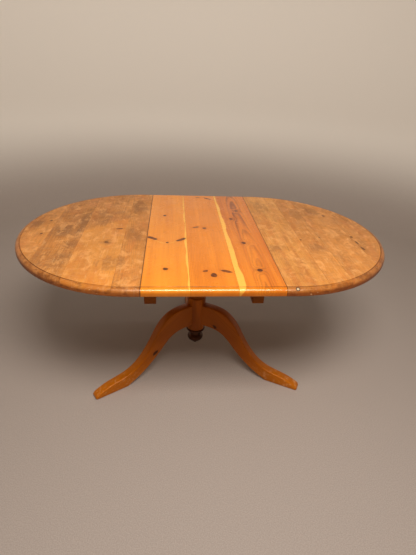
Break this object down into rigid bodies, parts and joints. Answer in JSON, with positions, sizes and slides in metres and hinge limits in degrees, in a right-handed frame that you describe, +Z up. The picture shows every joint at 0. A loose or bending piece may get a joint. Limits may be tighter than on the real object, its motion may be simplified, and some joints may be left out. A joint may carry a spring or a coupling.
{
  "type": "extending pedestal dining table",
  "caption": "Pine pedestal table drawn out to an oval around a centre leaf: turned column, S-curved tripod legs, moulded edge and slides under the top.",
  "frame": {"origin": "on the floor, under the middle of the whole object, 26 mm behind the middle of the top because the third leg reaches out at the back", "axes": "+Z up, +X along the way the table extends, +Y towards the back leg"},
  "size_m": [1.676, 1.1323, 0.76],
  "materials": {
    "worn_pine": "worn lacquered pine, dulled and stained, knots and open joints",
    "leaf_pine": "glossy orange lacquered pine with knots and a pale sapwood streak",
    "pedestal_pine": "honey-brown lacquered pine, satin",
    "frame_pine": "bare sawn pine, matt",
    "steel_fastener": "zinc-plated steel, dull"
  },
  "bodies": {
    "pedestal": {"column": "pedestal_pine", "leg_1": "pedestal_pine", "leg_2": "pedestal_pine", "leg_3": "pedestal_pine", "finial": "pedestal_pine", "top_block": "pedestal_pine", "left_bearer": "pedestal_pine", "right_bearer": "pedestal_pine", "bearer_bolt_1": "steel_fastener", "bearer_bolt_2": "steel_fastener", "bearer_bolt_3": "steel_fastener", "bearer_bolt_4": "steel_fastener", "guide_rail_front": "frame_pine", "guide_rail_back": "frame_pine", "guide_rail_screw_1": "steel_fastener", "guide_rail_screw_2": "steel_fastener", "guide_rail_screw_3": "steel_fastener", "guide_rail_screw_4": "steel_fastener"},
    "left_top": {"left_end_board_1": "worn_pine", "left_end_board_2": "worn_pine", "left_end_board_3": "worn_pine", "left_end_board_4": "worn_pine", "left_runner_front": "frame_pine", "left_runner_back": "frame_pine", "left_stop_block_front": "frame_pine", "left_stop_block_back": "frame_pine", "left_runner_screw_1": "steel_fastener", "left_runner_screw_2": "steel_fastener", "left_runner_screw_3": "steel_fastener", "left_runner_screw_4": "steel_fastener"},
    "right_top": {"right_end_board_1": "worn_pine", "right_end_board_2": "worn_pine", "right_end_board_3": "worn_pine", "right_end_board_4": "worn_pine", "right_runner_front": "frame_pine", "right_runner_back": "frame_pine", "right_stop_block_front": "frame_pine", "right_stop_block_back": "frame_pine", "right_runner_screw_1": "steel_fastener", "right_runner_screw_2": "steel_fastener", "right_runner_screw_3": "steel_fastener", "right_runner_screw_4": "steel_fastener"},
    "leaf": {"leaf_board_1": "leaf_pine", "leaf_board_2": "leaf_pine", "leaf_board_3": "leaf_pine", "leaf_batten_front": "frame_pine", "leaf_batten_back": "frame_pine", "leaf_batten_screw_1": "steel_fastener", "leaf_batten_screw_2": "steel_fastener", "leaf_batten_screw_3": "steel_fastener", "leaf_batten_screw_4": "steel_fastener", "leaf_batten_screw_5": "steel_fastener", "leaf_batten_screw_6": "steel_fastener"}
  },
  "joints": [
    {"name": "left_top_slide", "type": "slide", "parent": "pedestal", "child": "left_top", "axis": [-1, 0, 0], "range_m": [0, 0.0245]},
    {"name": "right_top_slide", "type": "slide", "parent": "pedestal", "child": "right_top", "axis": [1, 0, 0], "range_m": [0, 0.0245]},
    {"name": "leaf_lift", "type": "slide", "parent": "pedestal", "child": "leaf", "axis": [0, 0, 1], "range_m": [0, 0.3]}
  ]
}
